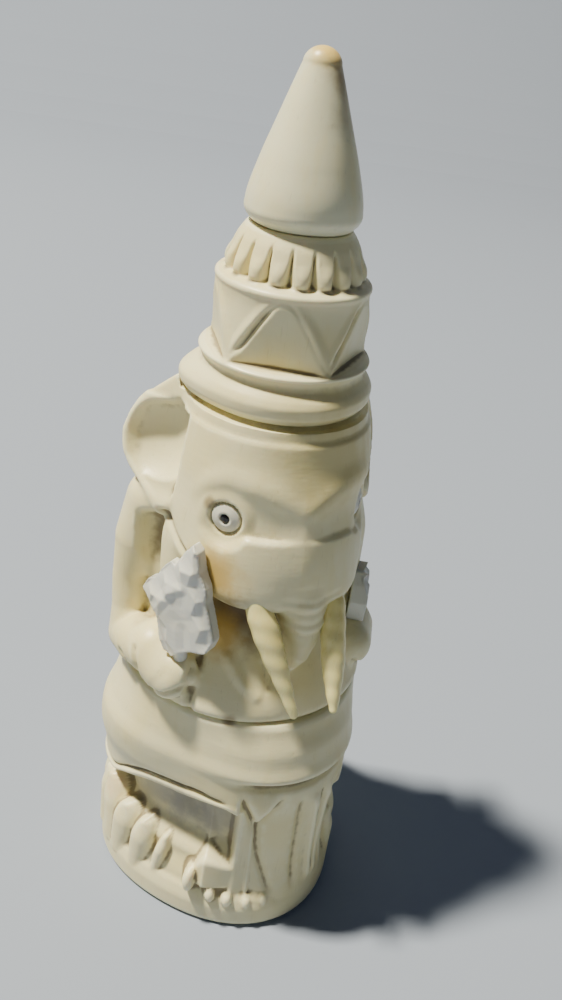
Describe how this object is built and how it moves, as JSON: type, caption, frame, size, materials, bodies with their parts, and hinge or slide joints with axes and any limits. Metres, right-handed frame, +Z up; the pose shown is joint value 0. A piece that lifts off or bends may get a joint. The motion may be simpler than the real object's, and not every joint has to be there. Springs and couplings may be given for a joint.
{
  "type": "ganesha idol",
  "caption": "Standing elephant-headed deity figure carved in bone, with set-in tusks, inlaid eyes, a toothed emblem in each fist and a tall tiered conical crown.",
  "frame": {"origin": "middle of the round foot, on the surface the figure stands on", "axes": "+Z up the figure to the tip of the crown; the face looks along -Y; the figure's right hand is on -X"},
  "size_m": [0.0336, 0.0352, 0.1],
  "materials": {
    "bone_body": "satin",
    "bone_polished": "satin",
    "bone_tusk": "satin",
    "bone_white": "matte",
    "bone_inner": "matte",
    "pupil_black": "gloss"
  },
  "bodies": {
    "root": {"lower_block": "bone_body", "upper_block": "bone_body", "crown_drum": "bone_body", "crown_finial": "bone_polished", "tusk_right": "bone_tusk", "tusk_left": "bone_tusk", "eye_disc_right": "bone_polished", "eye_disc_left": "bone_polished", "pupil_right": "pupil_black", "pupil_left": "pupil_black", "emblem_right": "bone_white", "emblem_left": "bone_white", "waist_dowel": "bone_inner", "crown_dowel": "bone_inner", "finial_pin": "bone_inner", "base_plug": "bone_inner"}
  },
  "joints": []
}
